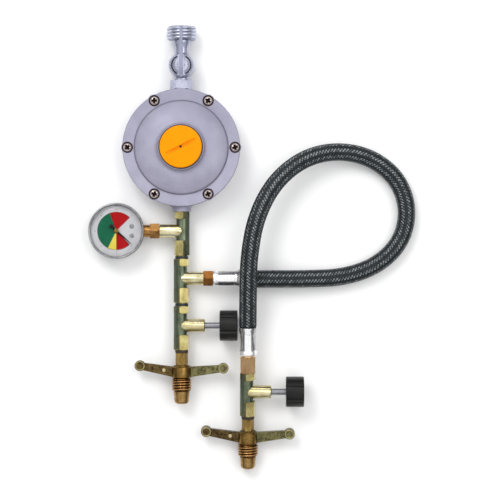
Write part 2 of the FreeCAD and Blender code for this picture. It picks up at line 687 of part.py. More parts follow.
def hose_adapter_2():
    collar = rod(7.75, 2.4, CENTRE, NEAR)
    nut = hexagon(NUT_FLATS, 18.0, Vector(0, -2.3, 0), NEAR, 30.0)
    spigot = rod(SPIGOT_R, 8.0, Vector(0, -20.0, 0), NEAR)
    shape = joined(collar, [nut, spigot]).cut(rod(GAS_BORE_R, 40, CENTRE, NEAR))
    return on_second_leg(shape, FERRULE_2_LENGTH)


def at_tee(shape, top, mirrored=False):
    """Place a tee piece on the regulator's column, or turned over so that its branch points to -X."""
    placed = shape.copy()
    if mirrored:
        placed.rotate(CENTRE, AWAY, 180)
    placed.translate(Vector(0, top, AXIS_HEIGHT))
    return placed


def at_gauge(shape):
    placed = shape.copy()
    placed.translate(Vector(GAUGE_X, TEE_1_TOP - TEE_BRANCH_DROP, 0))
    return placed


def joint_seals():
    """Packed sealing compound round the two male ends between the tees."""
    seals = []
    for top in (TEE_2_TOP, TEE_3_TOP):
        seals.append(tube(7.4, SPIGOT_R + 0.02, 2.8, Vector(0, top + 3.0, AXIS_HEIGHT), NEAR))
    return Part.makeCompound(seals)


VALVE_AND_CONNECTOR = {
    "valve_tee": valve_tee,
    "valve_plunger": valve_plunger,
    "valve_spindle": valve_spindle,
    "valve_stem": valve_stem,
    "valve_knob": valve_knob,
    "connector_nipple": connector_nipple,
    "nipple_core": nipple_core,
    "nipple_nose": nipple_nose,
    "nut_bushing": nut_bushing,
    "wing_nut": wing_nut,
    "nut_thread": nut_thread,
}

REGULATOR_PIECES = [
    regulator_body, regulator_cover, cover_screws, adjuster_cap, cap_skirt, cap_gasket,
    adjusting_screw, upper_spring_seat, main_spring, diaphragm, diaphragm_plate, valve_lever,
    lever_pin, seat_plug, inlet_nozzle,
    outlet_valve_body, outlet_end, outlet_ball, outlet_seals, outlet_lever,
    gauge_adapter_nut, hose_nut, hose_ferrule_1, hose, hose_ferrule_2, hose_adapter_2, joint_seals,
]

GAUGE_PIECES = [
    gauge_case, gauge_bezel, gauge_lens, gauge_dial, dial_screws, gauge_pointer, gauge_socket,
    bourdon_tube, gauge_movement,
]


def main():
    os.makedirs("parts", exist_ok=True)
    for make in REGULATOR_PIECES:
        keep(make.__name__, make())
    for make in GAUGE_PIECES:
        keep(make.__name__, at_gauge(make()))
    keep("gauge_tee", at_tee(plain_tee(SPIGOT_LENGTH, -TEE_TURN), TEE_1_TOP, mirrored=True))
    keep("hose_tee", at_tee(plain_tee(SPIGOT_LENGTH), TEE_2_TOP))
    for name, make in VALVE_AND_CONNECTOR.items():
        shape = make()
        keep(name + "_1", at_tee(shape, TEE_3_TOP))
        keep(name + "_2", on_second_leg(shape, TEE_4_DROP))


main()
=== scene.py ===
import json
import math

import bmesh
import bpy
import numpy as np
from mathutils import Matrix, Vector

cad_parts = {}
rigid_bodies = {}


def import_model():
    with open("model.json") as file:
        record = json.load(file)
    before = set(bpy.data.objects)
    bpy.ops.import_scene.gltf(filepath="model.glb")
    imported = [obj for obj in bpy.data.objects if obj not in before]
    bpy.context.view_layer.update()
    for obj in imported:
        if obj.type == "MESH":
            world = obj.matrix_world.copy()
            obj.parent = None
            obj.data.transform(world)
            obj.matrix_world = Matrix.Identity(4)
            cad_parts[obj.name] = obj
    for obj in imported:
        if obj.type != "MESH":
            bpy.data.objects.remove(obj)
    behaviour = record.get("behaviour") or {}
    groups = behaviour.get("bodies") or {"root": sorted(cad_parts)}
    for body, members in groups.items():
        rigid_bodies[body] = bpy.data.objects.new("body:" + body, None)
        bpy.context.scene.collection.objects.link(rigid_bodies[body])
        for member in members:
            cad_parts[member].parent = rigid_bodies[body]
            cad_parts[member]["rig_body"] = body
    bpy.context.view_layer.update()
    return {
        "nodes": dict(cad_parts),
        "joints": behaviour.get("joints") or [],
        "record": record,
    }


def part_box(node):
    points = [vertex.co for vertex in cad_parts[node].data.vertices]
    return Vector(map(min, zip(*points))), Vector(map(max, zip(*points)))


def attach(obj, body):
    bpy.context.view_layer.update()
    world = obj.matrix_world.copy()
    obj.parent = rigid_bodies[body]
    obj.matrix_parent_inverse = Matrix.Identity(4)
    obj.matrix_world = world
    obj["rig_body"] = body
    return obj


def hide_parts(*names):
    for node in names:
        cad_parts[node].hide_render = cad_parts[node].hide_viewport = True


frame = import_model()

NODES = frame["nodes"]
JOINTS = {joint["name"]: joint for joint in frame["joints"]}
SCENE = bpy.context.scene
MM = 0.001

# Driving sizes, in metres
HOSE_ROUTE = [
    (0.0670, -0.1480, 0.0175),
    (0.1040, -0.1480, 0.0175),
    (0.1430, -0.1480, 0.0125),
    (0.1840, -0.1462, 0.0098),
    (0.2215, -0.1332, 0.0098),
    (0.2485, -0.1070, 0.0098),
    (0.2575, -0.0710, 0.0098),
    (0.2455, -0.0348, 0.0105),
    (0.2155, -0.0105, 0.0135),
    (0.1770, -0.0025, 0.0190),
    (0.1385, -0.0110, 0.0255),
    (0.1050, -0.0380, 0.0330),
    (0.0840, -0.0780, 0.0400),
    (0.0760, -0.1230, 0.0432),
    (0.0750, -0.1637, 0.0379),
    (0.0749, -0.2023, 0.0324),
]
BRANCH_DROP = 0.022         # valve branch below its tee's top
TEE_LENGTH = 0.0496
SCREW_CIRCLE = 0.0605
CAP_SLOT_TURN = math.radians(27)
DOME_FOOT_R = 0.0524        # where the cover's dome meets its rim
COVER_NECK_R = 0.0236       # raised neck under the cap
OUTLET_VALVE_Y = 0.0927
THREAD_START = 0.0813       # wing nut's thread, from its tee's top
THREAD_END = 0.0966
WING_REACH = 0.0471         # middle of each wing's tip, from the connector's line
WING_TIPS = {1: 0.07025, -1: 0.06745}    # the same, from the tee's top
WING_BOSS = (-0.0200, -0.0724)           # round boss on the wing at -X, in the leg's frame
DIAL_HUB_R = 0.0022
DIAL_FIELD_R = 0.0213
DIAL_FIGURE_R = 0.0241
DIAL_EDGES = (45, 110, 243, 270, 314)    # between the coloured fields, in degrees
POINTER_Z = 0.0272
VIEW_CENTRE = (0.0773, -0.1153)
SET_MIDDLE_Z = 0.02
VIEW_WIDTH = 0.565          # what the picture shows, on a plane halfway up the set
VIEW_HEIGHT = 2.5
LAMP_TARGET = (0.08, -0.12, 0.0)


# Camera

def make_camera():
    data = bpy.data.cameras.new("camera")
    camera = bpy.data.objects.new("camera", data)
    camera.location = (VIEW_CENTRE[0], VIEW_CENTRE[1], VIEW_HEIGHT)
    data.angle = 2 * math.atan(VIEW_WIDTH / 2 / (VIEW_HEIGHT - SET_MIDDLE_Z))
    SCENE.collection.objects.link(camera)
    SCENE.camera = camera


make_camera()


# Places taken from the frame

def middle_of(node):
    low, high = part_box(node)
    return (low + high) / 2


def axes_at(origin, across, along):
    """Matrix from a local frame, +X across and +Y along, to the row frame."""
    across = Vector(across).normalized()
    along = Vector(along).normalized()
    up = across.cross(along)
    turn = Matrix((across, along, up)).transposed().to_4x4()
    return Matrix.Translation(Vector(origin)) @ turn


def leg_frame(number):
    """Local frame of a valve and connector: the tee's top at the origin, the line along -Y."""
    near = Vector(JOINTS["nut_spin_" + number]["axis"]).normalized()
    branch = Vector(JOINTS["valve_turn_" + number]["pos_m"])
    return axes_at(branch - near * BRANCH_DROP, (1, 0, 0), -near)


LEG = {number: leg_frame(number) for number in ("1", "2")}


def column_frame(node, across):
    """Local frame of a tee on the regulator's column."""
    return axes_at((0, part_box(node)[1].y, middle_of(node).z), (across, 0, 0), (0, 1, 0))


TEES = {
    "gauge_tee": column_frame("gauge_tee", -1),
    "hose_tee": column_frame("hose_tee", 1),
    "valve_tee_1": LEG["1"],
    "valve_tee_2": LEG["2"],
}


# Mesh helpers

SHARP_ANGLE = math.radians(35)
BEVEL_ANGLE = math.radians(32)
FLAT_ANGLE = math.radians(0.6)      # faces closer in direction than this are joined
WELD_DISTANCE = 2e-6


def new_piece(name, vertices, faces, body, materials=(), smooth=True):
    """A piece from vertices and faces in the row frame."""
    mesh = bpy.data.meshes.new(name)
    mesh.from_pydata([tuple(v) for v in vertices], [], faces)
    mesh.validate()
    return add_piece(name, mesh, body, materials, smooth)


def add_piece(name, mesh, body, materials=(), smooth=True):
    """An object for a mesh, with its materials, riding on a body."""
    piece = bpy.data.objects.new(name, mesh)
    SCENE.collection.objects.link(piece)
    for material in materials:
        mesh.materials.append(material)
    if smooth:
        mesh.shade_smooth()
        mesh.set_sharp_from_angle(angle=SHARP_ANGLE)
    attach(piece, body)
    return piece


def refined(node, bevel, materials, segments=3):
    """A copy of a CAD node's mesh with its flat faces joined and its sharp edges rounded."""
    source = NODES[node]
    shape = bmesh.new()
    shape.from_mesh(source.data)
    bmesh.ops.remove_doubles(shape, verts=shape.verts, dist=WELD_DISTANCE)
    bmesh.ops.dissolve_limit(shape, angle_limit=FLAT_ANGLE, verts=shape.verts, edges=shape.edges)
    mesh = bpy.data.meshes.new(node + "_fine")
    shape.to_mesh(mesh)
    shape.free()
    piece = add_piece(node + "_fine", mesh, source["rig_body"], materials)
    edge = piece.modifiers.new("edges", "BEVEL")
    edge.width = bevel
    edge.segments = segments
    edge.limit_method = "ANGLE"
    edge.angle_limit = BEVEL_ANGLE
    edge.harden_normals = True
    edge.use_clamp_overlap = True
    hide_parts(node)
    return piece


# Materials

class Shader:
    """A material's node tree with short calls for the nodes used here."""

    def __init__(self, name, metallic=0.0, roughness=0.5):
        self.material = bpy.data.materials.new(name)
        self.material.use_nodes = True
        self.nodes = self.material.node_tree.nodes
        self.links = self.material.node_tree.links
        self.surface = self.nodes["Principled BSDF"]
        self.surface.inputs["Metallic"].default_value = metallic
        self.surface.inputs["Roughness"].default_value = roughness

    def node(self, kind, **values):
        made = self.nodes.new(kind)
        for key, value in values.items():
            setattr(made, key, value)
        return made

    def link(self, source, target):
        self.links.new(source, target)

    def place(self):
        return self.node("ShaderNodeTexCoord").outputs["Object"]

    def stretched(self, scale, turn=(0, 0, 0)):
        mapping = self.node("ShaderNodeMapping")
        mapping.inputs["Scale"].default_value = scale
        mapping.inputs["Rotation"].default_value = turn
        self.link(self.place(), mapping.inputs["Vector"])
        return mapping.outputs["Vector"]

    def noise(self, scale, detail=4.0, roughness=0.55, vector=None):
        made = self.node("ShaderNodeTexNoise")
        made.inputs["Scale"].default_value = scale
        made.inputs["Detail"].default_value = detail
        made.inputs["Roughness"].default_value = roughness
        self.link(vector or self.place(), made.inputs["Vector"])
        return made.outputs["Fac"]

    def ramp(self, factor, stops):
        made = self.node("ShaderNodeValToRGB")
        ramp = made.color_ramp
        while len(ramp.elements) < len(stops):
            ramp.elements.new(0.5)
        for element, (position, colour) in zip(ramp.elements, stops):
            element.position = position
            element.color = (*colour, 1.0)
        self.link(factor, made.inputs["Fac"])
        return made.outputs["Color"]

    def span(self, value, low, high, to_low=0.0, to_high=1.0):
        made = self.node("ShaderNodeMapRange")
        ends = {"From Min": low, "From Max": high, "To Min": to_low, "To Max": to_high}
        for key, number in ends.items():
            made.inputs[key].default_value = number
        self.link(value, made.inputs["Value"])
        return made.outputs["Result"]

    def mix(self, factor, first, second):
        made = self.node("ShaderNodeMix", data_type="RGBA", blend_type="MIX")
        sockets = (made.inputs[0], made.inputs[6], made.inputs[7])      # factor and the two colours
        for socket, value in zip(sockets, (factor, first, second)):
            if isinstance(value, (int, float)):
                socket.default_value = value
            elif isinstance(value, tuple):
                socket.default_value = (*value, 1.0)
            else:
                self.link(value, socket)
        return made.outputs[2]

    def maths(self, operation, first, second=0.0):
        made = self.node("ShaderNodeMath", operation=operation)
        for socket, value in zip(made.inputs, (first, second)):
            if isinstance(value, (int, float)):
                socket.default_value = value
            else:
                self.link(value, socket)
        return made.outputs["Value"]

    def weighted(self, first, second, weight, other_weight):
        return self.maths("ADD", self.maths("MULTIPLY", first, weight),
                          self.maths("MULTIPLY", second, other_weight))

    def colour(self, source):
        self.link(source, self.surface.inputs["Base Color"])

    def rough(self, factor, low, high):
        self.link(self.span(factor, 0.3, 0.7, low, high), self.surface.inputs["Roughness"])

    def bump(self, height, strength, distance):
        made = self.node("ShaderNodeBump")
        made.inputs["Strength"].default_value = strength
        made.inputs["Distance"].default_value = distance
        self.link(height, made.inputs["Height"])
        self.link(made.outputs["Normal"], self.surface.inputs["Normal"])

    def worn_edges(self, colour, wear, amount=0.5):
        """Lighter metal where edges are proud."""
        geometry = self.node("ShaderNodeNewGeometry")
        edge = self.span(geometry.outputs["Pointiness"], 0.50, 0.56, 0.0, amount)
        return self.mix(edge, colour, wear)


FINE_BUMP = 0.0001          # depth of a machined or moulded surface's grain, in metres
CAST_BUMP = 0.00025


def cast_metal(name, dark, light, grain, metallic, low, high, bump, clouds=45.0):
    """Cast metal: cloudy colour and a fine sandy surface."""
    made = Shader(name, metallic)
    cloud = made.noise(clouds, 3.0)
    sand = made.noise(grain, 3.0, 0.7)
    base = made.ramp(cloud, [(0.35, dark), (0.65, light)])
    speck = made.span(sand, 0.35, 0.75, 0.0, 0.35)
    made.colour(made.mix(speck, base, tuple(min(1.0, c * 1.18) for c in light)))
    made.rough(sand, low, high)
    made.bump(sand, bump, CAST_BUMP)
    return made.material


def turned_metal(name, dark, light, axis_scale, metallic=1.0, low=0.2, high=0.36):
    """Machined metal: fine turning lines, stretched by axis_scale, over a slow change of tone."""
    made = Shader(name, metallic)
    lines = made.noise(1.0, 3.0, 0.6, made.stretched(axis_scale))
    cloud = made.noise(120.0, 3.0)
    tone = made.weighted(lines, cloud, 0.5, 0.5)
    made.colour(made.ramp(tone, [(0.35, dark), (0.65, light)]))
    made.rough(lines, low, high)
    made.bump(lines, 0.12, FINE_BUMP)
    return made.material


def threaded_metal(name, root, flank, crest, metallic):
    """Metal with painted shade down in a thread and a painted highlight on its crest."""
    made = Shader(name, metallic)
    ridge = made.node("ShaderNodeAttribute", attribute_name="ridge").outputs["Fac"]
    cloud = made.noise(160.0, 3.0)
    film = made.ramp(ridge, [(0.05, root), (0.55, flank), (0.95, crest)])
    made.colour(made.mix(made.span(cloud, 0.35, 0.7, 0.0, 0.35), film, root))
    made.rough(cloud, 0.2, 0.34)
    return made.material


def moulded_plastic(name, dark, light, roughness, grain=1400.0, bump=0.1, specular=0.5):
    """Moulded plastic: faint flow clouds and a fine satin grain."""
    made = Shader(name, 0.0, roughness)
    made.surface.inputs["Specular IOR Level"].default_value = specular
    cloud = made.noise(60.0, 2.0)
    fine = made.noise(grain, 2.0)
    made.colour(made.ramp(cloud, [(0.3, dark), (0.7, light)]))
    made.rough(fine, max(0.05, roughness - 0.08), roughness + 0.08)
    made.bump(fine, bump, FINE_BUMP)
    return made.material


def cap_plastic(name):
    """Yellow plastic with painted shade along the cap's middle, where the coin slot is."""
    made = Shader(name, 0.0, 0.5)
    made.surface.inputs["Specular IOR Level"].default_value = 0.06
    cloud = made.noise(60.0, 2.0)
    base = made.ramp(cloud, [(0.3, (0.89, 0.275, 0.0)), (0.7, (0.96, 0.305, 0.0))])
    split = made.node("ShaderNodeSeparateXYZ")
    made.link(made.stretched((1, 1, 1), (0, 0, -CAP_SLOT_TURN)), split.inputs["Vector"])
    off = made.maths("ABSOLUTE", split.outputs["Y"])
    along = made.maths("ABSOLUTE", split.outputs["X"])
    near_slot = made.span(off, 0.0004, 0.0026, 0.55, 0.0)
    near_middle = made.span(along, 0.009, 0.018, 1.0, 0.0)
    painted_slot_shade = made.maths("MULTIPLY", near_slot, near_middle)
    made.colour(made.mix(painted_slot_shade, base, (0.70, 0.145, 0.0)))
    fine = made.noise(1400.0, 2.0)
    made.rough(fine, 0.42, 0.58)
    made.bump(fine, 0.1, FINE_BUMP)
    return made.material


def smooth_rubber(name, dark, light):
    """Rubber or joint compound, matt and faintly grainy."""
    made = Shader(name, 0.0, 0.6)
    fine = made.noise(900.0, 3.0)
    made.colour(made.ramp(fine, [(0.3, dark), (0.7, light)]))
    made.bump(fine, 0.2, FINE_BUMP)
    return made.material


def clear_window(name):
    """The gauge's thin window, hardly bending the light."""
    made = Shader(name, 0.0, 0.04)
    haze = made.noise(80.0, 2.0)
    made.colour(made.ramp(haze, [(0.3, (0.96, 0.97, 0.98)), (0.7, (1.0, 1.0, 1.0))]))
    made.surface.inputs["Transmission Weight"].default_value = 1.0
    made.surface.inputs["IOR"].default_value = 1.03
    made.rough(haze, 0.02, 0.06)
    return made.material


def chromated(name, stops, low=0.24, high=0.42, metallic=0.9, painted_shade_side=0.0):
    """Chromate over brass: patchy, with machining streaks, and painted shade on one side.

    The last argument is +1 or -1 for the side along the piece's own X that gets the painted shade,
    0 for none.
    """
    made = Shader(name, metallic)
    cloud = made.noise(90.0, 4.0)
    streak = made.noise(1.0, 3.0, 0.6, made.stretched((1500.0, 220.0, 1500.0)))
    tone = made.weighted(cloud, streak, 0.6, 0.4)
    pale = tuple(min(1.0, part * 1.5) for part in stops[-1][1])
    film = made.ramp(tone, stops)
    if painted_shade_side:
        facing = made.node("ShaderNodeSeparateXYZ")
        made.link(made.node("ShaderNodeTexCoord").outputs["Normal"], facing.inputs["Vector"])
        outward = made.maths("MULTIPLY", facing.outputs["X"], painted_shade_side)
        # painted shade, stronger the more a face turns to that side
        away = made.span(outward, 0.25, 0.70, 0.0, 0.82)
        film = made.mix(away, film, (0.030, 0.050, 0.042))
    made.colour(made.worn_edges(film, pale, 0.5))
    made.rough(streak, low, high)
    made.bump(streak, 0.15, FINE_BUMP)
    return made.material


CAST_DARK = (0.300, 0.290, 0.380)
CAST_LIGHT = (0.360, 0.348, 0.445)


def cover_cast(name):
    """The cover's cast metal with painted shade: darker towards +Y, the outlet's side, and darker
    round the neck and at the dome's foot.
    """
    made = Shader(name, 0.35)
    sand = made.noise(900.0, 3.0, 0.7)
    base = made.ramp(made.noise(45.0, 3.0), [(0.35, CAST_DARK), (0.65, CAST_LIGHT)])
    lit = made.mix(made.span(sand, 0.35, 0.75, 0.0, 0.4), base, (0.46, 0.445, 0.545))
    split = made.node("ShaderNodeSeparateXYZ")
    made.link(made.place(), split.inputs["Vector"])
    x, y = split.outputs["X"], split.outputs["Y"]
    squares = made.maths("ADD", made.maths("MULTIPLY", x, x), made.maths("MULTIPLY", y, y))
    far = made.maths("SQRT", squares)
    # painted shade in the corner at the dome's foot and round the neck
    off = made.maths("ABSOLUTE", made.maths("SUBTRACT", far, DOME_FOOT_R))
    foot = made.span(off, 0.0, 0.0016, 0.45, 0.0)
    neck = made.span(far, COVER_NECK_R, COVER_NECK_R + 0.0034, 0.35, 0.0)
    shade = made.maths("MAXIMUM", foot, neck)
    # painted shade, growing towards +Y
    painted_shade_plus_y = made.mix(made.span(y, -0.015, 0.060, 0.0, 0.42), lit, (0.150, 0.150, 0.215))
    made.colour(made.mix(shade, painted_shade_plus_y, (0.10, 0.09, 0.13)))
    made.rough(sand, 0.42, 0.62)
    made.bump(sand, 0.35, CAST_BUMP)
    return made.material


# Finishes; each pair of colours is the dark and the light end of the surface's clouds

CAST = cast_metal("cast aluminium", CAST_DARK, CAST_LIGHT,
                  grain=900.0, metallic=0.35, low=0.42, high=0.62, bump=0.35)
COVER = cover_cast("cast aluminium cover")
ZINC = cast_metal("die cast zinc", (0.34, 0.355, 0.455), (0.47, 0.485, 0.60),
                  grain=700.0, metallic=0.8, low=0.22, high=0.36, bump=0.2)
ZINC_DARK = cast_metal("zinc lever", (0.17, 0.18, 0.25), (0.27, 0.28, 0.37),
                       grain=700.0, metallic=0.7, low=0.3, high=0.45, bump=0.3)
YELLOW = cap_plastic("yellow plastic")
BLACK = moulded_plastic("black plastic", (0.006, 0.006, 0.006), (0.011, 0.011, 0.010),
                        0.34, specular=0.22)
# painted shade, used in the screws' seats, at the dome's foot and in the cap's pilot hole
PAINTED_SHADE_DARK = moulded_plastic("painted dark shade", (0.014, 0.007, 0.008), (0.030, 0.015, 0.015),
                            0.5, specular=0.2)
# painted shade for the screws' driver recesses
RECESS = moulded_plastic("painted shade in driver recess", (0.004, 0.002, 0.002), (0.012, 0.006, 0.006),
                         0.6, specular=0.05)
# painted shadow, for the gap round the outlet lever's hub
SHADOW = moulded_plastic("painted shadow in the groove", (0.012, 0.012, 0.020), (0.03, 0.03, 0.05), 0.6)
RUBBER = smooth_rubber("black rubber", (0.02, 0.02, 0.02), (0.04, 0.04, 0.04))
SEALANT = smooth_rubber("joint compound", (0.006, 0.012, 0.012), (0.014, 0.026, 0.024))
NECK_RING_BROWN = smooth_rubber("dark brown neck ring", (0.020, 0.011, 0.005), (0.050, 0.028, 0.012))
STEEL = turned_metal("bright steel", (0.20, 0.20, 0.22), (0.36, 0.36, 0.38),
                     (300.0, 3000.0, 3000.0))
SCREW_STEEL = turned_metal("screw steel", (0.60, 0.50, 0.47), (0.84, 0.73, 0.69),
                           (900.0, 900.0, 900.0), 0.7)
NICKEL = turned_metal("polished nickel", (0.22, 0.22, 0.23), (0.48, 0.49, 0.50),
                      (140.0, 140.0, 140.0), 1.0, 0.06, 0.16)
FERRULE = turned_metal("bright ferrule", (0.88, 0.88, 0.89), (0.98, 0.97, 0.97),
                       (600.0, 90.0, 600.0), 0.8, 0.08, 0.20)
# painted shade for the ferrules' slanted flats
FERRULE_SHADED_FLATS = turned_metal("ferrule flats, painted shade", (0.30, 0.30, 0.31), (0.52, 0.52, 0.52),
                            (600.0, 90.0, 600.0), 0.9, 0.12, 0.26)
# painted dark reflection, for the bezel's outer corner
RIM_REFLECTION_DARK = turned_metal("painted dark reflection on rim", (0.035, 0.035, 0.038), (0.11, 0.11, 0.115),
                        (400.0, 400.0, 400.0), 0.9, 0.2, 0.34)
COPPER = turned_metal("copper coloured brass", (0.20, 0.085, 0.022), (0.50, 0.27, 0.090),
                      (1800.0, 200.0, 1800.0))
DARK_COPPER = turned_metal("browned brass", (0.13, 0.045, 0.010), (0.34, 0.15, 0.038),
                           (1800.0, 200.0, 1800.0))
PALE_COPPER = turned_metal("pale copper", (0.56, 0.32, 0.15), (0.74, 0.50, 0.27),
                           (300.0, 60.0, 300.0))
# root, flank and crest colours: painted shade down in the thread, painted highlight on the crest
THREAD_COPPER = threaded_metal("turned thread", (0.075, 0.027, 0.005), (0.30, 0.135, 0.034),
                               (0.54, 0.31, 0.115), 1.0)
THREAD_ZINC = threaded_metal("die cast thread", (0.24, 0.26, 0.35), (0.44, 0.46, 0.58),
                             (0.60, 0.62, 0.73), 0.8)
NOSE_COPPER = turned_metal("turned nose", (0.22, 0.115, 0.035), (0.46, 0.30, 0.115),
                           (400.0, 900.0, 400.0))
CHROMATE_STOPS = [(0.34, (0.11, 0.085, 0.026)), (0.50, (0.27, 0.220, 0.072)),
                  (0.68, (0.50, 0.44, 0.20))]
OLIVE_STOPS = [(0.32, (0.060, 0.078, 0.052)), (0.50, (0.120, 0.145, 0.090)),
               (0.70, (0.215, 0.245, 0.160))]
# one copy for each side that gets painted shade
CHROMATE = {side: chromated("yellow chromate", CHROMATE_STOPS, painted_shade_side=side) for side in (-1, 1)}
OLIVE = {side: chromated("green chromate", OLIVE_STOPS, painted_shade_side=side) for side in (-1, 1)}
BRANCH_GOLD = chromated("bright chromate", [(0.32, (0.36, 0.27, 0.090)), (0.50, (0.60, 0.51, 0.25)),
                                            (0.70, (0.86, 0.80, 0.56))], 0.14, 0.26, 1.0)
TIP_BRONZE = chromated("bright bronze", [(0.32, (0.15, 0.13, 0.05)), (0.50, (0.24, 0.21, 0.09)),
                                         (0.70, (0.36, 0.33, 0.16))], 0.3, 0.44, 0.8)
BOSS_BRONZE = chromated("worn bronze", [(0.32, (0.26, 0.19, 0.08)), (0.50, (0.38, 0.30, 0.14)),
                                        (0.70, (0.52, 0.44, 0.25))], 0.3, 0.44, 0.8)
NECK_BRONZE = chromated("bronze chromate", [(0.32, (0.09, 0.050, 0.014)),
                                            (0.50, (0.21, 0.130, 0.035)),
                                            (0.70, (0.37, 0.25, 0.075))], 0.2, 0.34, 1.0)
BRONZE = cast_metal("cast bronze", (0.035, 0.033, 0.012), (0.20, 0.180, 0.078), grain=520.0,
                    metallic=0.85, low=0.24, high=0.50, bump=1.0, clouds=260.0)
BROWN_BRONZE = cast_metal("browned bronze", (0.022, 0.013, 0.004), (0.130, 0.086, 0.029),
                          grain=520.0, metallic=0.85, low=0.24, high=0.50, bump=1.0, clouds=260.0)
HUB_BRONZE = turned_metal("turned hub", (0.10, 0.052, 0.012), (0.31, 0.19, 0.055),
                          (300.0, 3000.0, 300.0))
WHITE = moulded_plastic("printed white", (0.45, 0.445, 0.46), (0.54, 0.53, 0.545), 0.5)
DIAL_RED = moulded_plastic("dial red", (0.31, 0.003, 0.004), (0.38, 0.006, 0.008),
                           0.6, specular=0.08)
DIAL_GREEN = moulded_plastic("dial green", (0.005, 0.088, 0.042), (0.010, 0.128, 0.064),
                             0.6, specular=0.1)
DIAL_YELLOW = moulded_plastic("dial yellow", (0.60, 0.52, 0.05), (0.70, 0.62, 0.10),
                              0.6, specular=0.1)
DIAL_INK = moulded_plastic("dial ink", (0.03, 0.03, 0.03), (0.06, 0.05, 0.05), 0.5)
GLASS = clear_window("gauge window")

BY_SLOT = {
    "cast_aluminium": CAST,
    "cap_plastic": YELLOW,
    "zinc_alloy": ZINC,
    "chromated_brass": NECK_BRONZE,
    "copper_brass": COPPER,
    "wing_bronze": BRONZE,
    "thread_brass": THREAD_COPPER,
    "nickel": NICKEL,
    "steel": STEEL,
    "black_plastic": BLACK,
    "rubber": RUBBER,
    "hose_braid": RUBBER,
    "dial_white": WHITE,
    "clear_glass": GLASS,
    "sealant": SEALANT,
}


def paint_nodes():
    """Give every CAD node the material of its slot."""
    for part in frame["record"]["subparts"]:
        node = NODES[part["node"]]
        node.data.materials.clear()
        node.data.materials.append(BY_SLOT[part["material_slot"]])
    for number in ("1", "2"):
        NODES["nipple_nose_" + number].data.materials[0] = NOSE_COPPER


paint_nodes()


# Hose

def hose_line():
    """The hose's centreline as a curve with no thickness."""
    curve = bpy.data.curves.new("hose_line", "CURVE")
    curve.dimensions = "3D"
    curve.resolution_u = 40
    spline = curve.splines.new("NURBS")
    spline.points.add(len(HOSE_ROUTE) - 1)
    for point, place in zip(spline.points, HOSE_ROUTE):
        point.co = (*place, 1.0)
    spline.order_u = 3
    spline.use_endpoint_u = True
    carrier = bpy.data.objects.new("hose_line", curve)
    SCENE.collection.objects.link(carrier)
    bpy.context.view_layer.update()
    mesh = bpy.data.meshes.new_from_object(carrier)
    line = [vertex.co.copy() for vertex in mesh.vertices]
    bpy.data.objects.remove(carrier)
    return line


def evenly(line, step):
    """Points a fixed distance apart along a line, its ends kept."""
    lengths = [0.0]
    for first, second in zip(line, line[1:]):
        lengths.append(lengths[-1] + (second - first).length)
    count = max(2, round(lengths[-1] / step))
    targets = np.linspace(0.0, lengths[-1], count + 1)
    columns = [np.interp(targets, lengths, [point[axis] for point in line])
               for axis in range(3)]
    return [Vector(point) for point in zip(*columns)], lengths[-1]


def carried_frames(line):
    """Sideways directions along a line that don't twist about it."""
    frames = []
    side = Vector((0, 0, 1))
    for index, point in enumerate(line):
        ahead = line[min(index + 1, len(line) - 1)] - line[max(index - 1, 0)]
        ahead.normalize()
        side = (side - ahead * side.dot(ahead)).normalized()
        frames.append((point, side, ahead.cross(side)))
    return frames


BRAID_CARRIERS = 16         # bundles each way round the hose
BRAID_STRANDS = 4           # in a bundle
BRAID_LEAD = 0.056          # length in which a bundle goes once round
BRAID_DEPTH = 0.0007
BRAID_RADIUS = 0.0100       # over the proud strands
BRAID_FADE = 0.0022         # length over which it sinks at the hose's ends


def weave(turn, along, to_end):
    """Height of the braid, 0 to 1, and a tone for each crossing that sets its painted highlight; it
    sinks at the hose's ends.
    """
    right = turn * BRAID_CARRIERS + along / BRAID_LEAD * BRAID_CARRIERS
    left = turn * BRAID_CARRIERS - along / BRAID_LEAD * BRAID_CARRIERS
    right_cell, left_cell = np.floor(right), np.floor(left)
    over = np.mod(right_cell + left_cell, 4) < 2
    across = np.where(over, right - right_cell, left - left_cell)
    lengthways = np.where(over, left - left_cell, right - right_cell)
    ridge = np.sqrt(np.clip(1 - (2 * across - 1) ** 2, 0, 1))
    strands = 0.86 + 0.14 * np.cos(across * 2 * math.pi * BRAID_STRANDS)
    crown = 0.80 + 0.20 * np.sin(math.pi * lengthways)
    height = ridge * strands * crown * min(1.0, to_end / BRAID_FADE)
    # a different fixed value for each crossing, setting how bright its painted highlight is
    chance = np.mod(np.sin(right_cell * 12.9898 + left_cell * 78.233) * 43758.5453, 1.0)
    tone = np.where(over, 0.62, 0.14) + np.where(over, 0.36, 0.22) * chance
    return height, tone


def braid_material():
    """Dark strands over black gaps, with painted highlights as pale flecks on the strands on top,
    from the "weave" colours.

    Red is the height and green the tone.
    """
    made = Shader("woven braid", 0.1, 0.42)
    made.surface.inputs["Specular IOR Level"].default_value = 0.25
    tone = made.node("ShaderNodeAttribute", attribute_name="weave").outputs["Color"]
    split = made.node("ShaderNodeSeparateColor")
    made.link(tone, split.inputs["Color"])
    strand = made.ramp(split.outputs["Green"], [(0.14, (0.010, 0.016, 0.019)),
                                                (0.60, (0.070, 0.090, 0.098)),
                                                (0.95, (0.380, 0.420, 0.435))])
    proud = made.span(split.outputs["Red"], 0.50, 0.95)
    made.colour(made.mix(proud, (0.002, 0.003, 0.004), strand))
    fine = made.noise(2600.0, 2.0)
    made.rough(fine, 0.34, 0.52)
    made.bump(fine, 0.25, FINE_BUMP)
    return made.material


